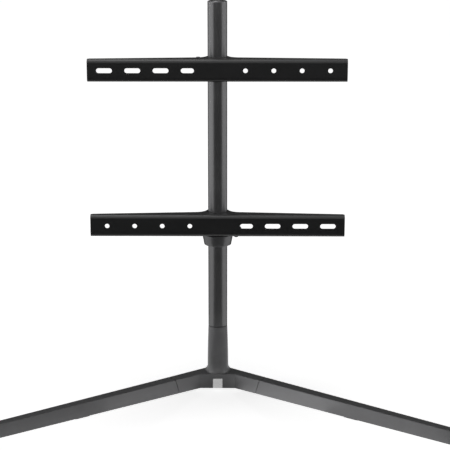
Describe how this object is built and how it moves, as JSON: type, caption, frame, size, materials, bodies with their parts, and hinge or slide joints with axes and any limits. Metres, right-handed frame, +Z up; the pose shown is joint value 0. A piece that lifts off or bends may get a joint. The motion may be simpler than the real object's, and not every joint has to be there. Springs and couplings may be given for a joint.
{
  "type": "television stand with mount",
  "caption": "Table stand for a television: V of two legs, swivelling round pole, and two slotted cross rails that slide on the pole.",
  "frame": {"origin": "on the floor, on the pole's axis, at the centre of the hub's round rubber foot", "axes": "+Z up along the pole, +X along the cross rails, -Y to the front where the screen is fastened"},
  "size_m": [0.889, 0.3679, 0.7205],
  "materials": {
    "cast_metal": "matt dark grey paint on cast aluminium",
    "pole_metal": "satin dark grey",
    "rail_metal": "near-black powder coat",
    "plate_metal": "brushed, bare",
    "screw_metal": "blackened",
    "steel": "turned",
    "nylon": "black",
    "rubber": "matt"
  },
  "bodies": {
    "base": {"hub_casting": "cast_metal", "front_plate": "plate_metal", "neck_bush_upper": "nylon", "neck_bush_lower": "nylon", "foot_hub": "rubber", "leg_left": "cast_metal", "foot_left_middle": "rubber", "foot_left_tip": "rubber", "leg_screw_left_1": "screw_metal", "leg_screw_left_2": "screw_metal", "leg_right": "cast_metal", "foot_right_middle": "rubber", "foot_right_tip": "rubber", "leg_screw_right_1": "screw_metal", "leg_screw_right_2": "screw_metal"},
    "column": {"pole_tube": "pole_metal", "pole_cap": "pole_metal", "swivel_spindle": "steel", "swivel_stop_washer": "steel", "spindle_bolt": "screw_metal", "pole_screw_1": "screw_metal", "pole_screw_2": "screw_metal"},
    "lower_carriage": {"lower_rail": "rail_metal", "lower_clamp_block": "cast_metal", "lower_sleeve_top": "nylon", "lower_sleeve_bottom": "nylon", "lower_clamp_pad": "nylon", "lower_clamp_screw": "screw_metal", "lower_rail_screw_left": "screw_metal", "lower_rail_screw_right": "screw_metal", "height_collar": "pole_metal", "collar_screw": "screw_metal"},
    "upper_carriage": {"upper_rail": "rail_metal", "upper_clamp_block": "cast_metal", "upper_sleeve_top": "nylon", "upper_sleeve_bottom": "nylon", "upper_clamp_pad": "nylon", "upper_clamp_screw": "screw_metal", "upper_rail_screw_left": "screw_metal", "upper_rail_screw_right": "screw_metal"}
  },
  "joints": [
    {"name": "column_swivel", "type": "hinge", "parent": "base", "child": "column", "pos_m": [0, 0, 0.1152], "axis": [0, 0, 1], "range_deg": [-35, 35]},
    {"name": "lower_rail_height", "type": "slide", "parent": "column", "child": "lower_carriage", "axis": [0, 0, 1], "range_m": [-0.12, 0.06]},
    {"name": "upper_rail_height", "type": "slide", "parent": "column", "child": "upper_carriage", "axis": [0, 0, 1], "range_m": [-0.14, 0.09]}
  ]
}
